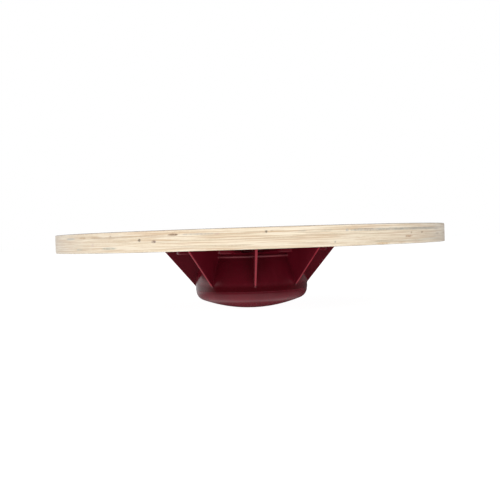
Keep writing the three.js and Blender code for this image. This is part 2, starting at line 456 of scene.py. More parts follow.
def end_grain(m, x, y, cross):
    """Returns how squarely the rim cuts the fibres, and the mask of the rim."""
    r2 = m.square_radius(x, y)
    nx2 = m.math("DIVIDE", m.multiply(x, x), r2)
    ny2 = m.math("DIVIDE", m.multiply(y, y), r2)
    end = m.mix_float(cross, nx2, ny2)
    rim = m.remap(r2, span=(((DECK_R - 1.2) * MM) ** 2, ((DECK_R - 0.5) * MM) ** 2))
    return m.multiply(m.multiply_add(end, 0.55, m.multiply(cross, 0.45)), rim), rim


def plywood_material():
    m = Nodes(bpy.data.materials.new("birch_plywood"))
    place = m.coords()
    x, y, z = m.split(place)
    wander = m.noise(place, scale=22.0, detail=2.0)
    # depth below the standing surface in mm, with ply boundaries that wander a little
    depth = m.multiply(m.subtract(TOP_Z * MM, z), 1 / MM)
    depth = m.add(depth, m.remap(wander, span=(0.2, 0.8), to=(-0.28, 0.28)))
    cross, grain = ply_grain(m, place, (x, y, z), depth)
    fibres = m.noise(grain, stretch=(16, 900, 900), detail=5.0, roughness=0.62)
    bands = m.noise(grain, stretch=(5, 130, 260), detail=3.0, roughness=0.5, distortion=0.6)
    clouds = m.noise(grain, stretch=(9, 16, 60), detail=3.0, roughness=0.5)
    pores = m.noise(grain, stretch=(60, 2600, 2600), detail=2.0, roughness=0.5)
    end, rim = end_grain(m, x, y, cross)

    # long grain, and duller end grain
    light = m.ramp(fibres, [
        (0.0, (216, 196, 166)), (0.38, (238, 222, 196)),
        (0.62, (246, 233, 210)), (1.0, (251, 242, 223)),
    ])
    band_mask = m.remap(bands, span=(0.42, 0.72), to=(0.0, 0.42))
    banded = m.mix(band_mask, light, (224, 200, 166))
    dull = m.ramp(fibres, [
        (0.0, (186, 164, 136)), (0.45, (220, 201, 173)), (1.0, (236, 221, 198)),
    ])
    wood = m.mix(m.multiply(end, 0.85), banded, dull)
    # rosy and grey patches, as birch has
    rosy = m.noise(grain, stretch=(14, 30, 90), offset=(3, 1, 2), detail=2.0, roughness=0.5)
    wood = m.mix(m.remap(rosy, span=(0.56, 0.74), to=(0.0, 0.28)), wood, (226, 190, 166))
    grey = m.noise(grain, stretch=(11, 24, 70), offset=(7, 5, 1), detail=2.0, roughness=0.5)
    wood = m.mix(m.remap(grey, span=(0.57, 0.76), to=(0.0, 0.30)), wood, (190, 187, 180))
    # pores, darker in end grain
    pore_mask = m.multiply(m.remap(pores, span=(0.60, 0.72)), m.multiply_add(end, 0.30, 0.10))
    wood = m.mix(pore_mask, wood, (164, 132, 98))
    cloud_mask = m.remap(clouds, span=(0.35, 0.7), to=(0.0, 0.16))
    wood = m.mix(cloud_mask, wood, (214, 190, 156), blend="MULTIPLY")
    # thin sliced layers: long fine streaks, dark then pale, that run level round the edge
    streak = m.noise(place, stretch=(17, 17, 1150), roughness=0.6)
    pale = m.noise(place, stretch=(21, 21, 900), offset=(2, 7, 3), roughness=0.6)
    for layer, color in ((streak, (211, 180, 145)), (pale, (254, 243, 222))):
        mask = m.multiply(m.remap(layer, span=(0.48, 0.60), to=(0.0, 0.72)), rim)
        wood = m.mix(mask, wood, color)
    # glue lines: depth, half width and strength
    glue = [(b, 0.13, 0.42) for b in PLIES] + [(b, 0.10, 0.30) for b in HAIRLINES]
    line = m.fold("MAXIMUM", [
        m.remap(m.math("ABSOLUTE", m.subtract(depth, b)), span=(0.0, width), to=(strength, 0.0))
        for b, width, strength in glue
    ])
    broken = m.remap(m.noise(place, stretch=(70, 70, 300), detail=3.0), span=(0.32, 0.62))
    wood = m.mix(m.multiply(m.multiply(line, broken), rim), wood, (150, 120, 88))
    # knots, stains and open gaps, painted on the rim's points and broken up by streaks
    mark = m.node("ShaderNodeAttribute", attribute_name="mark")
    mark_streak = m.remap(streak, span=(0.36, 0.62), to=(0.62, 1.0))
    mark_mask = m.multiply(mark.outputs["Alpha"], mark_streak)
    hatch = m.noise(place, stretch=(640, 640, 420), detail=3.0, roughness=0.6)
    mark_mask = m.multiply(mark_mask, m.remap(hatch, span=(0.38, 0.60), to=(0.45, 1.0)))
    wood = m.mix(mark_mask, wood, mark.outputs["Color"])
    # painted sheen: the rim is mixed paler and greyer at a glancing angle, in place of the
    # bright surroundings' reflection
    facing = m.node("ShaderNodeLayerWeight")
    facing.inputs["Blend"].default_value = 0.5
    painted_sheen = m.math("POWER", facing.outputs["Facing"], 2.2)
    wood = m.mix(m.multiply(m.multiply(painted_sheen, rim), 0.60), wood, (207, 201, 196))
    # handling dirt on the arrises
    wood = m.mix(m.multiply(m.edge_wear(radius=0.0012), 0.22), wood, (176, 158, 140))
    # smooth dark film on the underside, which stops at the arris
    film = m.remap(z, span=((UNDER_Z + 0.22) * MM, (UNDER_Z + 0.10) * MM))
    smudge = m.noise(place, scale=24.0, roughness=0.6)
    brown = m.ramp(m.multiply_add(fibres, 0.35, m.multiply(smudge, 0.65)), [
        (0.2, (50, 33, 27)), (0.5, (62, 42, 34)), (0.8, (76, 54, 43)),
    ])
    wood = m.mix(film, wood, brown)

    rough = m.remap(fibres, span=(0.2, 0.8), to=(0.50, 0.66))
    rough = m.mix_float(end, rough, 0.74)
    rough = m.mix_float(film, rough, m.remap(smudge, span=(0.3, 0.7), to=(0.38, 0.52)))
    # fibres stand up everywhere, pores mostly in end grain
    pore_height = m.multiply(pores, m.multiply_add(end, 0.6, 0.15))
    height = m.multiply_add(fibres, 0.5, pore_height)
    return m.finish(wood, rough, m.bump(height, strength=0.35, distance=0.00025), {
        "Specular IOR Level": 0.35, "Coat Weight": 0.06, "Coat Roughness": 0.35,
    })


# ------------------------------------------------------------------ film material
def film_material():
    m = Nodes(bpy.data.materials.new("dark_film"))
    place = m.coords()
    x, y, _ = m.split(place)
    # pressed wire-mesh pattern: two sets of parallel ridges 2.6 mm apart, at +-30 degrees to X
    wave_number = 2 * math.pi / 0.0026
    cos30, sin30 = 0.8660, 0.5
    across = [
        m.math(operation, m.multiply(x, cos30), m.multiply(y, sin30))
        for operation in ("ADD", "SUBTRACT")
    ]
    waves = [m.math("COSINE", m.multiply(distance, wave_number)) for distance in across]
    ridges = [m.remap(wave, span=(0.35, 1.0), smooth=True) for wave in waves]
    mesh = m.math("MAXIMUM", *ridges)
    cell = m.subtract(1.0, mesh)
    blotch = m.noise(place, scale=14.0, roughness=0.6)
    fine = m.noise(place, scale=900.0, detail=3.0, roughness=0.6)
    scuff = m.noise(place, stretch=(26, 210, 40), roughness=0.65, distortion=1.2)

    color = m.ramp(blotch, [(0.25, (52, 45, 42)), (0.55, (66, 57, 53)), (0.8, (78, 68, 62))])
    color = m.mix(m.multiply(cell, 0.35), color, (40, 34, 32))
    scuff_mask = m.multiply(m.remap(scuff, span=(0.60, 0.74)), m.multiply(mesh, 0.35))
    color = m.mix(scuff_mask, color, (132, 122, 114))
    color = m.mix(m.remap(fine, span=(0.62, 0.78), to=(0.0, 0.25)), color, (104, 94, 88))
    # the fibre mat shows where the film was trimmed at the rim
    color = m.mix(m.multiply(m.edge_wear(radius=0.0009), 0.35), color, (118, 106, 98))

    rough = m.mix_float(mesh, 0.62, 0.44)
    rough = m.add(rough, m.remap(blotch, span=(0.2, 0.8), to=(-0.05, 0.08)))
    height = m.multiply_add(mesh, 1.0, m.multiply(fine, 0.12))
    normal = m.bump(height, strength=0.6, distance=0.00022)
    return m.finish(color, rough, normal, {"Specular IOR Level": 0.45})


# ------------------------------------------------------------------ plastic material
MAROON = (112, 20, 35)
MAROON_DEEP = (98, 14, 28)
MAROON_PALE = (150, 40, 56)


def paint_skirt_light_and_shade(m, place, flow, color, rough):
    """Paints highlights on the ribs' outer edges and the bead, and paints shade on the lip,
    which keeps its polish.
    """
    x, y, z = m.split(place)
    r = m.math("SQRT", m.square_radius(x, y))
    # painted highlight: the ribs' outer edges are mixed brighter, as if lit from below
    reach = m.remap(
        z, span=(KNEE_Z * MM, UNDER_Z * MM), to=(RIB_FOOT_R * MM, RIB_TOP_R * MM)
    )
    edge = m.multiply(
        m.remap(m.subtract(r, reach), span=(-0.0006, -0.0002)),
        m.remap(z, span=((KNEE_Z + 0.3) * MM, (KNEE_Z + 1.2) * MM)),
    )
    edge = m.multiply(edge, m.remap(flow, span=(0.3, 0.7), to=(0.65, 0.95)))
    color = m.mix(edge, color, (160, 38, 54))

    # painted highlight: a band along the bead's outer face is mixed paler, for the line of
    # light it catches
    from_bead = m.math("ABSOLUTE", m.subtract(z, (RIM_Z + BEAD_R) * MM))
    bead = m.multiply(
        m.remap(from_bead, span=(0.0013, 0.0005)),
        m.remap(r, span=((RIM_R - 1.0) * MM, RIM_R * MM)),
    )
    outer_end = m.remap(r, span=((RIM_R + 1.8) * MM, (RIM_R + 2.2) * MM), to=(1.0, 0.0))
    color = m.mix(m.multiply(m.multiply(bead, outer_end), 0.5), color, (158, 84, 90))

    # painted shade: the lip lies under the widest circle and is mixed to a deeper colour
    lip = m.multiply(
        m.remap(z, span=((SEAM_Z + 0.05) * MM, (SEAM_Z + 0.25) * MM)),
        m.remap(z, span=((KNEE_Z - 0.6) * MM, (KNEE_Z + 2.5) * MM), to=(1.0, 0.0)),
    )
    color = m.mix(m.multiply(lip, 0.75), color, (74, 6, 14))
    return color, m.mix_float(m.multiply(lip, 0.8), rough, 0.09)


def scuff_dome(m, place, color, rough, normal):
    """Short curved scratches where the cap rolls on the floor, stronger near the pole."""
    low = m.remap(m.split(place)[2], span=(0.0, 0.009), to=(1.0, 0.0))
    style = {"detail": 3.0, "roughness": 0.6, "distortion": 1.6}
    along_y = m.noise(place, stretch=(700, 60, 60), **style)
    along_x = m.noise(place, stretch=(70, 760, 70), offset=(4, 2, 1), **style)
    scratch = m.math(
        "MAXIMUM",
        m.remap(along_y, span=(0.62, 0.70)),
        m.remap(along_x, span=(0.63, 0.71)),
    )
    scratch = m.multiply(scratch, low)
    haze = m.multiply(m.remap(m.noise(place, scale=90.0), span=(0.35, 0.7)), low)
    color = m.mix(m.multiply(scratch, 0.45), color, (168, 120, 124))
    rough = m.add(rough, m.multiply_add(scratch, 0.25, m.multiply(haze, 0.12)))
    return color, rough, m.bump(scratch, strength=0.25, distance=0.00006, normal=normal)


def plastic_material(name, skirt=False, rolling=False):
    m = Nodes(bpy.data.materials.new(name))
    place = m.coords()
    cloud = m.noise(place, scale=34.0, detail=3.0, roughness=0.5)
    flow = m.noise(place, stretch=(60, 60, 14), distortion=0.8)
    fine = m.noise(place, scale=1500.0, detail=2.0, roughness=0.5)
    orange_peel = m.noise(place, scale=210.0, detail=2.0, roughness=0.5)
    color = m.mix(m.remap(cloud, span=(0.3, 0.7)), MAROON, MAROON_DEEP)
    color = m.mix(m.remap(flow, span=(0.52, 0.75), to=(0.0, 0.16)), color, MAROON_PALE)
    wear = m.edge_wear(radius=0.0009, span=(0.02, 0.30))
    wear = m.multiply(wear, m.remap(flow, span=(0.3, 0.7), to=(0.10, 0.45)))
    color = m.mix(wear, color, MAROON_PALE)
    dust = m.noise(place, scale=2600.0, detail=2.0, roughness=0.6)
    color = m.mix(m.remap(dust, span=(0.70, 0.80), to=(0.0, 0.20)), color, (150, 128, 126))
    rough = m.remap(cloud, span=(0.25, 0.75), to=(0.17, 0.22))
    if skirt:
        color, rough = paint_skirt_light_and_shade(m, place, flow, color, rough)
    rough = m.add(rough, m.remap(fine, span=(0.3, 0.7), to=(-0.02, 0.03)))
    height = m.multiply_add(orange_peel, 1.0, m.multiply(fine, 0.15))
    normal = m.bump(height, strength=0.10, distance=0.0001)
    if rolling:
        color, rough, normal = scuff_dome(m, place, color, rough, normal)
    return m.finish(color, rough, normal, {"IOR": 1.50})


# ------------------------------------------------------------------ zinc material
def zinc_material():
    m = Nodes(bpy.data.materials.new("zinc_steel"))
    place = m.coords()
    spangle = m.noise(place, scale=420.0, detail=3.0, roughness=0.5)
    brush = m.noise(place, stretch=(300, 2400, 2400), detail=3.0, roughness=0.6)
    stain = m.noise(place, scale=160.0, detail=3.0, roughness=0.6)
    color = m.ramp(spangle, [
        (0.3, (176, 178, 180)), (0.6, (200, 201, 200)), (0.8, (214, 212, 204)),
    ])
    color = m.mix(m.remap(stain, span=(0.58, 0.75), to=(0.0, 0.35)), color, (150, 138, 110))
    color = m.mix(m.multiply(m.edge_wear(radius=0.0002), 0.4), color, (226, 226, 224))
    rough = m.remap(brush, span=(0.3, 0.7), to=(0.26, 0.44))
    normal = m.bump(brush, strength=0.15, distance=0.00004)
    return m.finish(color, rough, normal, {"Metallic": 1.0})


PLYWOOD = plywood_material()
FILM = film_material()
PLATE = plastic_material("maroon_plate")
SKIRT = plastic_material("maroon_skirt", skirt=True)
DOME = plastic_material("maroon_dome", rolling=True)
ZINC = zinc_material()


# ------------------------------------------------------------------ plywood deck
# Blemishes on the rim: angle from +X in degrees, depth below the standing surface,
# width, height, sRGB colour, strength, and how deep the gap is.
MARKS = [
    (-111.6, 4.0, 6.4, 1.5, (112, 62, 20), 1.0, 0.9),
    (-120.7, 7.7, 1.9, 1.8, (34, 18, 14), 1.0, 1.2),
    (-116.7, 9.2, 3.4, 1.9, (98, 62, 66), 0.9, 0.5),
    (-89.9, 3.9, 1.5, 1.7, (66, 44, 34), 0.95, 0.9),
    (-88.6, 3.4, 2.2, 0.8, (156, 124, 92), 0.6, 0.2),
    (-104.8, 4.1, 20.0, 1.4, (182, 172, 166), 0.75, 0.0),
    (-108.2, 4.2, 6.0, 1.1, (176, 168, 160), 0.7, 0.0),
    (-101.0, 4.5, 4.0, 1.6, (206, 172, 156), 0.7, 0.0),
    (-141.0, 4.1, 9.0, 1.5, (178, 140, 92), 0.8, 0.1),
    (-134.9, 4.3, 12.0, 1.4, (172, 132, 88), 0.8, 0.1),
    (-129.7, 4.0, 1.6, 1.8, (150, 108, 84), 0.8, 0.2),
    (-147.7, 4.4, 17.0, 1.8, (170, 174, 172), 0.80, 0.0),
    (-130.3, 13.9, 14.0, 1.7, (164, 168, 154), 0.80, 0.1),
    (-142.7, 14.3, 9.0, 1.8, (184, 188, 176), 0.7, 0.0),
    (-136.4, 10.4, 3.2, 2.6, (212, 184, 172), 0.6, 0.0),
    (-50.1, 11.4, 8.5, 1.5, (176, 122, 66), 0.85, 0.3),
    (-43.7, 8.3, 3.2, 1.6, (160, 122, 84), 0.8, 0.3),
    (-49.0, 8.2, 2.6, 1.6, (178, 142, 102), 0.7, 0.2),
    (-32.9, 9.8, 8.0, 1.5, (172, 146, 118), 0.8, 0.2),
    (-73.6, 14.0, 0.7, 1.9, (96, 86, 74), 0.85, 0.5),
    (-60.0, 17.0, 13.0, 1.6, (206, 160, 96), 0.75, 0.0),
    (-53.0, 16.6, 8.0, 1.2, (202, 158, 116), 0.55, 0.0),
    (-47.0, 16.4, 9.0, 1.0, (206, 164, 140), 0.5, 0.0),
    (-60.0, 14.9, 13.0, 1.3, (176, 172, 150), 0.65, 0.0),
    (-52.5, 4.7, 92.0, 1.9, (148, 148, 142), 0.85, 0.05),
    (-52.0, 15.3, 60.0, 1.2, (200, 194, 176), 0.45, 0.0),
    (-38.0, 14.2, 30.0, 1.4, (196, 192, 180), 0.50, 0.0),
    (-124.0, 4.4, 74.0, 0.9, (188, 154, 120), 0.55, 0.0),
    (-81.5, 4.2, 6.0, 1.2, (188, 180, 162), 0.55, 0.0),
    (-75.5, 4.3, 9.0, 1.4, (196, 184, 162), 0.55, 0.0),
    (-70.2, 4.6, 2.2, 2.0, (158, 158, 160), 0.75, 0.2),
    (-66.5, 4.5, 5.0, 2.0, (172, 176, 172), 0.7, 0.0),
    (-62.0, 4.6, 9.0, 1.9, (184, 182, 176), 0.65, 0.0),
    (-57.0, 4.6, 7.0, 2.1, (168, 166, 160), 0.75, 0.0),
    (-51.5, 4.7, 8.0, 2.1, (164, 170, 164), 0.75, 0.0),
    (-44.0, 4.9, 9.0, 2.1, (166, 164, 158), 0.75, 0.0),
    (-34.0, 5.0, 14.0, 2.0, (176, 172, 166), 0.65, 0.0),
    (12.0, 10.9, 5.0, 1.2, (110, 72, 40), 0.9, 1.0),
    (38.0, 4.4, 16.0, 1.6, (180, 176, 168), 0.6, 0.0),
    (67.0, 8.4, 1.4, 1.8, (60, 40, 30), 0.9, 0.8),
    (96.0, 14.4, 9.0, 1.7, (196, 158, 112), 0.6, 0.0),
    (118.0, 4.4, 7.0, 1.3, (112, 70, 36), 0.9, 1.1),
    (149.0, 11.6, 3.0, 2.2, (172, 126, 78), 0.7, 0.2),
    (173.0, 4.5, 18.0, 1.7, (178, 180, 176), 0.55, 0.0),
]
RIM_COUNT = 1440  # points round the rim


def deck_profile():
    """Rim profile (radius, height) from the underside to the top of the plywood."""
    top_round = DECK_R - FILM_R
    low = [
        (DECK_R - ARRIS + ARRIS * math.sin(a), UNDER_Z + ARRIS - ARRIS * math.cos(a))
        for a in quarter(7)
    ]
    high = [
        (DECK_R - top_round + top_round * math.cos(a),
         PLY_Z - top_round + top_round * math.sin(a))
        for a in quarter(6)
    ]
    heights = np.linspace(UNDER_Z + ARRIS, PLY_Z - top_round, 50)
    return low + [(DECK_R, z) for z in heights[1:-1]] + high


def rim_relief(x, y, z, angle, depth):
    """How far the sanded rim is worn in: fibres, end-grain pits and glue lines."""
    wandering = depth + value_noise(x, y, z, cell=(45, 45, 45), seed=3) * 0.25
    cross = np.zeros(wandering.shape, dtype=bool)
    for top, bottom in CROSS_PLIES:
        cross |= (wandering > top) & (wandering < bottom)
    end = np.where(cross, np.sin(angle) ** 2, np.cos(angle) ** 2)
    along = np.where(cross, y, x)
    across = np.where(cross, x, y)
    fibre = value_noise(along, across, z, cell=(18, 1.1, 0.55), seed=11)
    pit = np.clip(value_noise(along, across, z, cell=(6, 0.9, 0.5), seed=23) - 0.35, 0, 1)
    relief = 0.02 + 0.02 * fibre + end * (0.035 + 0.10 * pit)
    for boundary in PLIES + HAIRLINES:
        relief = relief + 0.045 * np.exp(-(((wandering - boundary) / 0.16) ** 2))
    return relief


def paint_marks(x, y, z, angle, depth, relief):
    """Returns the blemishes' colour and strength, and the relief with their gaps."""
    mark = np.zeros((*depth.shape, 4))
    # a faint shade where the film's resin bled into the top veneer
    patches = 0.30 + 0.30 * value_noise(x, y, z, cell=(16, 16, 1), seed=41)
    mark[..., :3] = np.array(srgb(166, 136, 124))
    mark[..., 3] = np.clip(np.clip(1 - (depth - 0.2) / 0.75, 0, 1) * patches, 0, 1)
    for degrees, mark_depth, width, height, color, strength, gap in MARKS:
        turn = (angle - math.radians(degrees) + math.pi) % (2 * math.pi) - math.pi
        sideways = turn * DECK_R
        seed = int(degrees * 7) + 900
        ragged = 0.18 * value_noise(x, y, z, cell=(2.2, 2.2, 1.2), seed=seed)
        # wide marks have squarer ends
        power = 2.4 if width < 25 else 7.0
        spread = (np.abs(sideways) / (width * 0.66)) ** power
        spread = spread + (np.abs(depth - mark_depth) / (height * 0.58)) ** 2.4
        mask = np.clip(1.25 - (spread + ragged), 0, 1)
        # stains fade smoothly and gaps have firmer edges
        if gap < 0.05:
            mask = mask * mask * (3 - 2 * mask)
        else:
            mask = np.clip(mask * 1.6, 0, 1)
        paint = np.array(srgb(*color))
        cover = (mask * strength)[..., None]
        blended = mark[..., :3] * (1 - cover) + paint * cover
        mark[..., :3] = np.where(mark[..., 3:] < 1e-3, paint, blended)
        mark[..., 3] = np.maximum(mark[..., 3], mask * strength)
        if gap > 0:
            relief = relief + gap * mask
    return mark, relief


def store_marks(mesh, mark, heights):
    """Looks the marks up by angle and height, because merging may renumber points."""
    attribute = mesh.attributes.new("mark", "FLOAT_COLOR", "POINT")
    points = np.zeros(len(mesh.vertices) * 3)
    mesh.vertices.foreach_get("co", points)
    points = points.reshape(-1, 3) / MM
    angle = np.arctan2(points[:, 1], points[:, 0]) % (2 * math.pi)
    column = np.rint(angle / (2 * math.pi / RIM_COUNT)).astype(int) % RIM_COUNT
    row = np.abs(heights[None, :] - points[:, 2:3]).argmin(1)
    on_rim = np.hypot(points[:, 0], points[:, 1]) > DECK_R - 3
    values = np.where(on_rim[:, None], mark[row, column], 0.0)
    attribute.data.foreach_set("color", values.astype(np.float32).ravel())


def deck():
    angles = np.arange(RIM_COUNT) * (2 * math.pi / RIM_COUNT)
    profile = np.array(deck_profile())
    radius = profile[:, :1] * np.ones(RIM_COUNT)
    z = profile[:, 1:] * np.ones(RIM_COUNT)
    angle = np.ones(len(profile))[:, None] * angles
    x, y = DECK_R * np.cos(angle), DECK_R * np.sin(angle)
    depth = TOP_Z - z
    relief = rim_relief(x, y, z, angle, depth)
    mark, relief = paint_marks(x, y, z, angle, depth, relief)
    # the relief dies out towards both faces
    fade = np.clip((depth - 0.2) / 0.5, 0.15, 1) * np.clip((z - UNDER_Z) / 0.5, 0.0, 1)
    worn = radius - np.clip(relief, 0, 1.6) * fade
    worn[0] = radius[0]

    shell = Shell()
    rows = [
        shell.ring(np.stack([r * np.cos(angles), r * np.sin(angles), height], 1))
        for r, height in zip(worn, z)
    ]
    shell.bridge_all(rows)
    # blind pilot holes in the underside
    holes = []
    for a in FINGERS:
        centre = polar(FINGER_END_R, a)
        mouth = shell.ring(circle(PILOT_R, UNDER_Z, 20, centre))
        end = shell.ring(circle(PILOT_R, UNDER_Z + PILOT_DEPTH, 20, centre))
        shell.bridge(mouth, end)
        shell.cap(end)
        holes.append(mouth)
    shell.cap(rows[0], *holes)
    shell.fan(rows[-1], shell.point((0, 0, PLY_Z)))
    ob = shell.build("plywood_deck_looks", PLYWOOD, "plywood_deck",
                     smooth_below=50, merge=1e-7)
    store_marks(ob.data, mark, profile[:, 1])


deck()


# ------------------------------------------------------------------ anti-slip film
def film():
    edge = 0.1
    bottom = [(0, PLY_Z), (FILM_R * 0.5, PLY_Z), (FILM_R, PLY_Z)]
    rounding = [
        (FILM_R - edge + edge * math.cos(a), TOP_Z - edge + edge * math.sin(a))
        for a in quarter(4)
    ]
    top = [(FILM_R * part, TOP_Z) for part in (0.75, 0.5, 0.25, 0)]
    shell = Shell()
    shell.lathe(bottom + rounding + top, 480)
    shell.build("anti_slip_film_looks", FILM, "anti_slip_film")


film()


# ------------------------------------------------------------------ mounting plate
def plate_outline():
    """Plan of the hub and its eight fingers: (x, y, normal x, normal y) round the axis."""
    half_w, fillet = FINGER_W / 2, 3.0
    fillet_y = half_w + fillet
    fillet_x = math.sqrt((HUB_R + fillet) ** 2 - fillet_y ** 2)
    root = math.atan2(fillet_y, fillet_x)
    # half of one finger lying along +X: round end, straight side, fillet, then the hub
    half = []
    for a in quarter(13):
        x, y = polar(half_w, a)
        half.append((FINGER_END_R + x, y, math.cos(a), math.sin(a)))
    for x in np.linspace(FINGER_END_R, fillet_x, 9)[1:-1]:
        half.append((x, half_w, 0, 1))
    for a in np.linspace(-math.pi / 2, -(math.pi - root), 8):
        x, y = polar(fillet, a)
        half.append((fillet_x + x, fillet_y + y, -math.cos(a), -math.sin(a)))
    for a in np.linspace(root, math.radians(22.5), 7)[1:]:
        half.append((*polar(HUB_R, a), math.cos(a), math.sin(a)))
    sector = [(x, -y, nx, -ny) for x, y, nx, ny in reversed(half[1:-1])] + half
    return [
        (*turned(x, y, finger), *turned(nx, ny, finger))
        for finger in FINGERS
        for x, y, nx, ny in sector
    ]


def plate():
    shell = Shell()
    outline = plate_outline()
    low_round, top_round = 0.9, 0.3
    # (height, inset from the outline)
    levels = [
        (PLATE_Z + low_round - low_round * math.cos(a), low_round - low_round * math.sin(a))
        for a in quarter(7)
    ]
    levels += [(PLATE_Z + 2.5, 0.0), (UNDER_Z - top_round - 1.0, 0.0)]
    levels += [
        (UNDER_Z - top_round + top_round * math.sin(a), top_round - top_round * math.cos(a))
        for a in quarter(4)
    ]
    rings = [
        shell.ring([(x - nx * inset, y - ny * inset, z) for x, y, nx, ny in outline])
        for z, inset in levels
    ]
    shell.bridge_all(rings)
    # countersunk holes as (radius, height): fingers from below, hub from above
    finger_hole = [
        (4.5, PLATE_Z), (4.4, PLATE_Z + 0.04), (4.32, PLATE_Z + 0.14),
        (SCREW_BORE_R, PLATE_Z + 2.3), (SCREW_BORE_R, UNDER_Z),
    ]
    hub_hole = [(SCREW_BORE_R, PLATE_Z), (SCREW_BORE_R, UNDER_Z - 2.3), (4.35, UNDER_Z)]
    low, high = [], []
    for place_angles, place_r, steps in (
        (FINGERS, FINGER_END_R, finger_hole),
        (CLAMPS, CLAMP_PITCH_R, hub_hole),
    ):
        for a in place_angles:
            hole = [shell.ring(circle(r, z, 32, polar(place_r, a))) for r, z in steps]
            shell.bridge_all(hole)
            low.append(hole[0])
            high.append(hole[-1])
    shell.cap(rings[0], *low)
    shell.cap(rings[-1], *high)
    shell.build("mounting_plate_looks", PLATE, "mounting_plate",
                smooth_below=30)


plate()


# ------------------------------------------------------------------ ribbed skirt
# Points along half a rib and half a wall panel in plan
EDGE_STEPS, CORNER_STEPS, SIDE_STEPS, FILLET_STEPS, WALL_STEPS = 3, 5, 8, 6, 12
ROOT_INDEX = EDGE_STEPS + CORNER_STEPS + SIDE_STEPS  # the fillet's first point


def flare_radius(z):
    rise = max(0.0, z - KNEE_Z) / (RIM_Z - KNEE_Z)
    return KNEE_R - (KNEE_R - RIM_R) * rise ** FLARE_BOW


def wall_radius(z):
    """Outside of the wall between the ribs: lip, flare, bead and neck."""
    if z <= RIM_Z:
        lip = KNEE_R - 0.08 + (z - KNEE_Z) * (KNEE_R - SEAM_R) / (KNEE_Z - SEAM_Z)
        flare = flare_radius(z)
        blend = 0.9  # rounds the widest circle
        near = max(blend - abs(lip - flare), 0.0) / blend
        r = min(lip, flare) - near * near * blend * 0.25 + 0.12
        top_trim = 0.12 * max(0.0, (z - RIM_Z + 2.0) / 2.0)
        seam_trim = max(0.0, SEAM_Z + 0.1 - z) * 0.7
        return r - top_trim - seam_trim
    neck = RIM_R - 0.2
    if abs(z - BEAD_Z) < BEAD_R:
        return neck + math.sqrt(BEAD_R ** 2 - (z - BEAD_Z) ** 2)
    if z < BEAD_Z:
        return neck
    return neck - 0.5 * ((z - BEAD_Z - BEAD_R) / (PLATE_Z - BEAD_Z - BEAD_R)) ** 2


def rib_reach(z):
    return RIB_FOOT_R + (RIB_TOP_R - RIB_FOOT_R) * (z - KNEE_Z) / (UNDER_Z - KNEE_Z)


def rib_half(z):
    """Half the rib's thickness."""
    return 0.5 * (RIB_T_FOOT + (RIB_T_TOP - RIB_T_FOOT) * (z - KNEE_Z) / (UNDER_Z - KNEE_Z))


def rib_side(reach, half_t, corner, root_x):
    """Half a rib in plan: outer edge, rounded corner, and side as far as the root."""
    points = [(reach, (half_t - corner) * i / EDGE_STEPS) for i in range(EDGE_STEPS)]
    for i in range(CORNER_STEPS):
        x, y = polar(corner, math.pi / 2 * i / (CORNER_STEPS - 1))
        points.append((reach - corner + x, half_t - corner + y))
    for i in range(1, SIDE_STEPS + 1):
        along = (root_x - reach + corner) * i / (SIDE_STEPS + 1)
        points.append((reach - corner + along, half_t))
    return points


def half_section(z):
    """Plan of half a sector, from the rib's outer edge to the middle of the wall panel."""
    wall, reach, half_t = wall_radius(z), rib_reach(z), rib_half(z)
    proud = reach - wall
    if proud <= 0.03:
        # no rib yet: the same number of points lies on the wall
        count = ROOT_INDEX + FILLET_STEPS
        root = math.asin(half_t / wall) * 1.4
        points = [polar(wall, root * i / (count - 1)) for i in range(count)]
    else:
        fillet = min(0.7, 0.42 * proud)
        corner = min(RIB_CORNER_R, 0.38 * proud, half_t * 0.9)
        root_x = math.sqrt((wall + fillet) ** 2 - (half_t + fillet) ** 2)
        root = math.atan2(half_t + fillet, root_x)
        points = rib_side(reach, half_t, corner, root_x)
        for i in range(FILLET_STEPS):
            a = -math.pi / 2 - (math.pi / 2 - root) * i / (FILLET_STEPS - 1)
            x, y = polar(fillet, a)
            points.append((root_x + x, half_t + fillet + y))
    for i in range(1, WALL_STEPS + 1):
        points.append(polar(wall, root + (math.radians(22.5) - root) * i / WALL_STEPS))
    return points


def skirt_outside(shell):
    """Wall and ribs from the seam up to the flange's top face; returns the top ring."""
    above_seam = (0, 0.1, 0.2, 0.5, 1.2, 2.2, 3.1)
    round_knee = (-1.2, -0.9, -0.7, -0.5, -0.3, -0.1, 0.15, 0.5, 0.9, 1.3, 1.8, 2.4, 3.2,
                  4.2, 5.4)
    heights = [SEAM_Z + d for d in above_seam] + [KNEE_Z + d for d in round_knee]
    heights += list(np.linspace(KNEE_Z + 7, RIM_Z, 17))
    heights += [BEAD_Z - BEAD_R * math.cos(a) for a in np.linspace(0.05, math.pi - 0.05, 15)]
    heights += [BEAD_Z + BEAD_R + 0.1, PLATE_Z - 0.5, PLATE_Z - 0.2, PLATE_Z]
    rings = []
    for z in heights:
        half = half_section(z)
        sector = [(x, -y) for x, y in reversed(half[1:-1])] + half
        rings.append(shell.ring([
            (*turned(x, y, math.radians(45 * k)), z) for k in range(8) for x, y in sector
        ]))
    shell.bridge_all(rings)
    return rings[0], rings[-1]


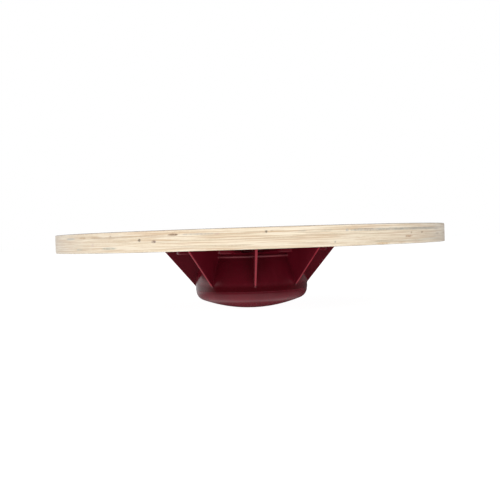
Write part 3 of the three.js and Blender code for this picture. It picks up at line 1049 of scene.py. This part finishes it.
def rib_tops(shell, top_ring):
    """Ribs above the flange; returns the outline left for the flange's top face."""
    half = half_section(PLATE_Z)
    root_x = half[ROOT_INDEX][0]
    sector_count = 2 * len(half) - 2
    middle = len(half) - 2  # index in a sector of the middle of the rib's outer edge
    base_t = rib_half(PLATE_Z)
    # the rib's inner end, with chamfered corners
    inner_half = [
        (RIB_INNER_R + 0.4, base_t), (RIB_INNER_R + 0.12, base_t - 0.12),
        (RIB_INNER_R, base_t - 0.4),
    ]
    inner_end = inner_half + [(x, -y) for x, y in reversed(inner_half)]
    flange_loop = []
    for k in range(8):
        turn = math.radians(45 * k)
        sector = top_ring[k * sector_count : (k + 1) * sector_count]
        inner = shell.ring([(*turned(x, y, turn), PLATE_Z) for x, y in inner_end])
        last = sector[middle - ROOT_INDEX : middle + ROOT_INDEX + 1] + inner
        for z in np.linspace(PLATE_Z, UNDER_Z, 6)[1:]:
            half_t = rib_half(z)
            side = rib_side(rib_reach(z), half_t, RIB_CORNER_R, root_x) + [(root_x, half_t)]
            outer = [(x, -y) for x, y in reversed(side[1:])] + side
            widened = [
                (x, math.copysign(abs(y) + (half_t - base_t), y)) for x, y in inner_end
            ]
            now = shell.ring([(*turned(x, y, turn), z) for x, y in outer + widened])
            shell.bridge(last, now)
            last = now
        shell.cap(last)
        # wall before the rib, round the rib's inner end, wall after it
        flange_loop += sector[: middle - ROOT_INDEX + 1] + list(reversed(inner))
        flange_loop += sector[middle + ROOT_INDEX :]
    return flange_loop


def skirt():
    shell = Shell()
    seam_ring, top_ring = skirt_outside(shell)
    flange_loop = rib_tops(shell, top_ring)
    top_holes, low_holes = [], []
    for a in CLAMPS:
        hole = [
            shell.ring(circle(SCREW_BORE_R, z, 24, polar(CLAMP_PITCH_R, a)))
            for z in (PLATE_Z, FLANGE_Z)
        ]
        shell.bridge(*hole)
        top_holes.append(hole[0])
        low_holes.append(hole[1])
    count = 128  # points round the bore and the inner wall
    bore = [shell.ring(circle(FLANGE_BORE_R, z, count)) for z in (PLATE_Z, FLANGE_Z)]
    shell.bridge(*bore)
    shell.cap(flange_loop, bore[0], *top_holes)
    inner_heights = (FLANGE_Z, 53.0, 50.0, 47.0, 44.0, 41.0, 38.0, 35.0, 32.0, 29.0, 26.5,
                     KNEE_Z, SEAM_Z)
    inside = [shell.ring(circle(flare_radius(z) - WALL, z, count)) for z in inner_heights]
    shell.cap(inside[0], bore[1], *low_holes)
    shell.bridge_all(inside)
    shell.cap(seam_ring, inside[-1])
    shell.build("ribbed_skirt_looks", SKIRT, "ribbed_skirt",
                smooth_below=40)


skirt()


# ------------------------------------------------------------------ rolling dome
def dome_inside(r):
    return CAP_Z - math.sqrt((CAP_R - DOME_WALL) ** 2 - r * r)


def sunk(r):
    """Height 1.2 mm inside the cap's wall, where the inner parts are rooted."""
    return dome_inside(r) - 1.2


def dome():
    corner_r = BAND_R - CORNER_R
    corner_z = CAP_Z - math.sqrt((CAP_R - CORNER_R) ** 2 - corner_r ** 2)
    tangent = math.degrees(math.asin(corner_r / (CAP_R - CORNER_R)))
    foot = math.degrees(math.asin(FOOT_R / CAP_R))
    spigot = KNEE_R - WALL - 0.3  # fits inside the skirt's wall
    profile = [(0, 0), (FOOT_R * 0.5, 0), (FOOT_R - 0.6, 0.0)]
    profile += arc(0, CAP_Z, CAP_R, -90 + foot * 1.04, -90 + tangent, 26)
    profile += arc(corner_r, corner_z, CORNER_R, -90 + tangent, 0, 16)[1:]
    profile += [
        (BAND_R + 0.04, SEAM_Z - 0.12), (BAND_R - 0.1, SEAM_Z),
        (spigot, SEAM_Z), (spigot, SEAM_Z + 4.1), (spigot - 0.4, SEAM_Z + 4.5),
        (53.4, SEAM_Z + 4.5), (54, 18), (53.0, 15.3), (50.5, 12.6),
        (47.5, dome_inside(47.5) + 0.3),
    ]
    profile += [(r, dome_inside(r)) for r in (44, 34, 24, 12, 0)]
    shell = Shell()
    shell.lathe(profile, 320)
    shell.build("rolling_dome_looks", DOME, "rolling_dome", smooth_below=30)


def dome_web(shell, angle):
    """Upright web. Those along X are 3 mm thick; those along Y are single sheets."""
    half_t, inner_r, outer_r, top_z = 1.5, 9.0, 54.3, 19.0
    outline = [
        (r, sunk(r) if r < 45 else max(sunk(45), 11.2 + (r - 45) * 0.75))
        for r in np.linspace(inner_r, outer_r, 14)
    ]
    outline += [(outer_r, top_z), (inner_r, top_z)]
    c, s = math.cos(angle), math.sin(angle)
    # both faces shift the same way in x, which closes the webs along Y into sheets
    faces = [
        shell.ring([(r * c - half_t * s, r * s + side * half_t * c, z) for r, z in outline])
        for side in (-1, 1)
    ]
    shell.bridge(*faces)
    for loop in faces:
        shell.fill([loop], [outline])


def dome_insides():
    """Hollow post, four screw bosses and four webs inside the dome."""
    shell = Shell()
    post_bore, post_r, post_top = 6.5, 10.0, 22.0
    shell.lathe([
        (post_bore, 6.0), (post_bore, post_top), (post_r, post_top), (post_r, sunk(post_r)),
        (post_bore, sunk(post_bore)), (post_bore, 6.0),
    ], 48)
    boss = [
        (5.5, sunk(CLAMP_PITCH_R)), (5.5, FLANGE_Z - 0.4), (5.1, FLANGE_Z),
        (2.15, FLANGE_Z), (2.15, 31.0),
    ]
    for a in CLAMPS:
        rings = [shell.ring(circle(r, z, 32, polar(CLAMP_PITCH_R, a))) for r, z in boss]
        shell.bridge_all(rings)
        shell.cap(rings[0])
        shell.cap(rings[-1])
        dome_web(shell, a)
    shell.build("dome_bosses_and_webs", DOME, smooth_below=30)


dome()
dome_insides()


# ------------------------------------------------------------------ screws
HEAD_R, HEAD_H, HEAD_RIM = 4.18, 2.2, 0.12
SHANK_R, PLAIN_SHANK = 1.97, 0.8
THREAD_PITCH, THREAD_DEPTH = 1.6, 0.42
SCREW_COUNT = 64  # points round a screw
SCREW_INSET = 0.02  # head's face below the surface round it
TURNS = [0.31, 1.12, 0.74, 0.05, 1.40, 0.52, 0.93, 1.27]  # radians


def cross_recess(x, y):
    """Depth of two crossed slots with sloping walls."""
    deep = 0.0
    for along, across in ((x, y), (y, x)):
        end = np.clip((2.15 - abs(along)) / 0.75, 0, 1)
        side = np.clip((0.56 - abs(across)) / 0.22, 0, 1)
        deep = max(deep, min(end, side))
    return 1.55 * deep


def screw_head(shell, face_z):
    """Recessed face from the rim inward; returns the rim's ring."""
    rows = [shell.ring(circle(HEAD_R, face_z + HEAD_RIM, SCREW_COUNT))]
    for r in np.linspace(HEAD_R - HEAD_RIM * 0.3, 0.14, 22):
        flat = [polar(r, 2 * math.pi * i / SCREW_COUNT) for i in range(SCREW_COUNT)]
        rows.append(shell.ring([(x, y, face_z + cross_recess(x, y)) for x, y in flat]))
    shell.bridge_all(rows)
    shell.fan(rows[-1], shell.point((0, 0, face_z + cross_recess(0, 0))))
    return rows[0]


def screw_thread(shell, last, start_z, end_z):
    """Coarse thread that fades in below the shank and tapers to the tip."""
    steps = int((end_z - start_z) / 0.1)
    for k in range(1, steps):
        z = start_z + (end_z - start_z) * k / steps
        taper = min(1.0, (end_z - z) / 1.8)
        depth = THREAD_DEPTH * min(1.0, (z - start_z) / 1.0)
        points = []
        for i in range(SCREW_COUNT):
            a = 2 * math.pi * i / SCREW_COUNT
            phase = ((z - start_z) / THREAD_PITCH - a / (2 * math.pi)) % 1.0
            crest = max(0.0, 1 - abs(phase - 0.5) / 0.26)
            r = (SHANK_R - depth + depth * crest) * (0.16 + 0.84 * taper)
            points.append((*polar(r, a), z))
        now = shell.ring(points)
        shell.bridge(last, now)
        last = now
    shell.fan(last, shell.point((0, 0, end_z)))


def screw(node, face_z, length, centre, turn, point_down):
    """Countersunk screw. face_z is the plane of the head's face."""
    shell = Shell()
    last = screw_head(shell, face_z)
    # cone under the head, then the plain shank
    for r, z in (
        (HEAD_R * 0.62, face_z + HEAD_H * 0.62),
        (SHANK_R, face_z + HEAD_H),
        (SHANK_R, face_z + HEAD_H + PLAIN_SHANK),
    ):
        now = shell.ring(circle(r, z, SCREW_COUNT))
        shell.bridge(last, now)
        last = now
    screw_thread(shell, last, face_z + HEAD_H + PLAIN_SHANK, face_z + length)
    place = Matrix.Rotation(turn, 4, "Z")
    if point_down:
        flip = Matrix.Rotation(math.pi, 4, "X") @ Matrix.Translation((0, 0, -face_z))
        place = Matrix.Translation((*centre, face_z)) @ flip @ place
    else:
        place = Matrix.Translation((*centre, 0)) @ place
    shell.points = [tuple(place @ Vector(p)) for p in shell.points]
    shell.build(node + "_looks", ZINC, node, smooth_below=38, merge=2e-7)


for i, a in enumerate(FINGERS):
    screw(
        "deck_screw_%d" % (i + 1),
        face_z=PLATE_Z + SCREW_INSET,
        length=UNDER_Z + 14.0 - PLATE_Z - SCREW_INSET,
        centre=polar(FINGER_END_R, a),
        turn=TURNS[i],
        point_down=False,
    )
for i, a in enumerate(CLAMPS):
    screw(
        "clamp_screw_%d" % (i + 1),
        face_z=UNDER_Z - SCREW_INSET,
        length=29.98,
        centre=polar(CLAMP_PITCH_R, a),
        turn=TURNS[i] * 0.8,
        point_down=True,
    )


# ------------------------------------------------------------------ floor
FLOOR_HALF = 9.0  # metres
FLOOR_GLOW = 1.1  # light the board's diffuse surfaces receive
POOL_GLOSS = 0.46  # brightness of the pool in reflections


def floor_gloss(m):
    """Floor as the gloss sees it: a bright pool round the foot, a bright sweep on the
    left, a fainter one on the right and a dark room in front. Distances in metres."""
    x, y, _ = m.split(m.coords())
    r = m.math("SQRT", m.square_radius(x, y))
    pool = m.multiply(
        m.remap(r, span=(0.099, 0.113), to=(1.0, 0.0), smooth=True),
        m.remap(m.multiply(y, -1.0), span=(-0.01, 0.035)),
    )
    pool_light = m.multiply(
        m.remap(r, span=(0.036, 0.053), to=(0.06, 1.0), smooth=True),
        m.remap(r, span=(0.055, 0.11), to=(POOL_GLOSS * 1.3, POOL_GLOSS * 0.85)),
    )
    pool_light = m.multiply(pool_light, m.remap(x, span=(0.02, 0.06), to=(1.0, 0.5)))
    left = m.multiply(
        m.remap(m.multiply(x, -1.0), span=(0.02, 0.12)), m.remap(y, span=(-0.08, 0.04))
    )
    right = m.multiply(m.remap(x, span=(0.04, 0.14)), m.remap(y, span=(-0.12, 0.04)))
    far = m.add(m.multiply_add(left, 0.75, 0.005), m.multiply(right, 0.10))
    return m.add(m.multiply(pool, pool_light), m.multiply(m.subtract(1.0, pool), far))


def floor_material():
    m = Nodes(bpy.data.materials.new("floor"))
    output = m.node("ShaderNodeOutputMaterial")
    # seen directly it is close to paper white, with a faint contact shadow left in
    diffuse = m.node("ShaderNodeBsdfDiffuse")
    diffuse.inputs["Color"].default_value = (0.25, 0.25, 0.25, 1)
    glow = m.node("ShaderNodeEmission")
    glow.inputs["Strength"].default_value = 0.975
    seen = m.node("ShaderNodeAddShader")
    m.link(diffuse.outputs[0], seen.inputs[0])
    m.link(glow.outputs[0], seen.inputs[1])
    # what the board receives from it
    gloss = floor_gloss(m)
    path = m.node("ShaderNodeLightPath")
    bounce = m.node("ShaderNodeEmission")
    strength = m.mix_float(path.outputs["Is Glossy Ray"], FLOOR_GLOW, gloss)
    m.link(strength, bounce.inputs["Strength"])
    upper = m.mix_shader(path.outputs["Is Camera Ray"], bounce.outputs[0], seen.outputs[0])
    # clear from below
    clear = m.node("ShaderNodeBsdfTransparent")
    geometry = m.node("ShaderNodeNewGeometry")
    surface = m.mix_shader(geometry.outputs["Backfacing"], upper, clear.outputs[0])
    m.link(surface, output.inputs["Surface"])
    return m.owner


def floor():
    mesh = bpy.data.meshes.new("floor")
    corners = [(-1, -1), (1, -1), (1, 1), (-1, 1)]
    points = [(x * FLOOR_HALF, y * FLOOR_HALF, 0) for x, y in corners]
    mesh.from_pydata(points, [], [(0, 1, 2, 3)])
    ob = bpy.data.objects.new("floor", mesh)
    bpy.context.scene.collection.objects.link(ob)
    mesh.materials.append(floor_material())


floor()


# ------------------------------------------------------------------ world and lights
WORLD_LEFT, WORLD_RIGHT, WORLD_UP, WORLD_BASE = 1.0, 0.16, 0.25, 0.02  # strengths


def world():
    """White to the camera. The board gets a white wall on the left, a dim room on the
    right, some light from above and near darkness behind the camera."""
    w = bpy.data.worlds.new("studio")
    bpy.context.scene.world = w
    m = Nodes(w)
    output = m.node("ShaderNodeOutputWorld")
    seen = m.node("ShaderNodeBackground")
    seen.inputs[0].default_value = (1, 1, 1, 1)
    seen.inputs[1].default_value = 1.0
    lit = m.node("ShaderNodeBackground")
    x, y, z = m.split(m.coords("Generated"))

    def wall(sideways):
        return m.multiply(
            m.remap(sideways, span=(0.25, 0.75), smooth=True),
            m.remap(y, span=(-0.45, 0.1), smooth=True),
        )

    left = wall(m.multiply(x, -1.0))
    up = m.remap(z, span=(0.25, 0.85), smooth=True)
    right = wall(x)
    # diffuse rays get less from the left and more from the right, which evens the light
    diffuse_ray = m.node("ShaderNodeLightPath").outputs["Is Diffuse Ray"]
    left_light = m.subtract(WORLD_LEFT, m.multiply(diffuse_ray, WORLD_LEFT * 0.6))
    left = m.multiply(left, left_light)
    right = m.multiply(right, m.add(WORLD_RIGHT, m.multiply(diffuse_ray, 0.25)))
    above = m.add(m.multiply(up, WORLD_UP), WORLD_BASE)
    m.link(m.add(m.add(left, right), above), lit.inputs[1])
    lit.inputs[0].default_value = (1.0, 0.995, 0.985, 1)
    camera_ray = m.node("ShaderNodeLightPath").outputs["Is Camera Ray"]
    m.link(m.mix_shader(camera_ray, lit.outputs[0], seen.outputs[0]), output.inputs[0])


world()


def softbox(name, location, target, size, power):
    """Rectangular light hidden from the camera; metres and watts."""
    light = bpy.data.lights.new(name, "AREA")
    light.shape = "RECTANGLE"
    light.size, light.size_y = size
    light.energy = power
    ob = bpy.data.objects.new(name, light)
    ob.location = location
    aim = Vector(target) - Vector(location)
    ob.rotation_euler = aim.to_track_quat("-Z", "Y").to_euler()
    bpy.context.scene.collection.objects.link(ob)
    ob.visible_camera = False
    return ob


softbox("key_softbox", location=(-0.25, -1.70, 0.95), target=(0, 0, 0.06),
        size=(1.6, 0.8), power=20)
left_softbox = softbox("left_softbox", location=(-1.20, 0.25, 0.25), target=(0, 0, 0.04),
                       size=(0.9, 0.5), power=1.5)
left_softbox.visible_glossy = False
softbox("top_softbox", location=(0.0, 0.2, 1.9), target=(0, 0, 0.05),
        size=(2.2, 2.2), power=14)


# ------------------------------------------------------------------ camera and output
CAMERA_AZIMUTH = math.radians(-3.6)  # from -Y; negative is towards -X
CAMERA_DISTANCE = 0.7905  # metres
CAMERA_ROLL = math.radians(-1.876)
CAMERA_PITCH = math.radians(-0.909)


def camera():
    """Level with the middle of the deck's edge, then rolled and pitched a little."""
    data = bpy.data.cameras.new("camera")
    data.sensor_width = 36.0
    data.lens = 52.74
    data.clip_start, data.clip_end = 0.02, 60.0
    ob = bpy.data.objects.new("camera", data)
    bpy.context.scene.collection.objects.link(ob)
    ob.location = (
        math.sin(CAMERA_AZIMUTH) * CAMERA_DISTANCE,
        -math.cos(CAMERA_AZIMUTH) * CAMERA_DISTANCE,
        (UNDER_Z + TOP_Z) / 2 * MM,
    )
    level = Matrix.Rotation(CAMERA_AZIMUTH, 4, "Z") @ Matrix.Rotation(math.pi / 2, 4, "X")
    roll = Matrix.Rotation(CAMERA_ROLL, 4, "Z")
    look = level @ roll @ Matrix.Rotation(CAMERA_PITCH, 4, "X")
    ob.rotation_mode = "QUATERNION"
    ob.rotation_quaternion = look.to_quaternion()
    bpy.context.scene.camera = ob


camera()

view = bpy.context.scene.view_settings
view.view_transform = "Standard"
view.look = "None"
view.exposure = 0.0
view.gamma = 1.0
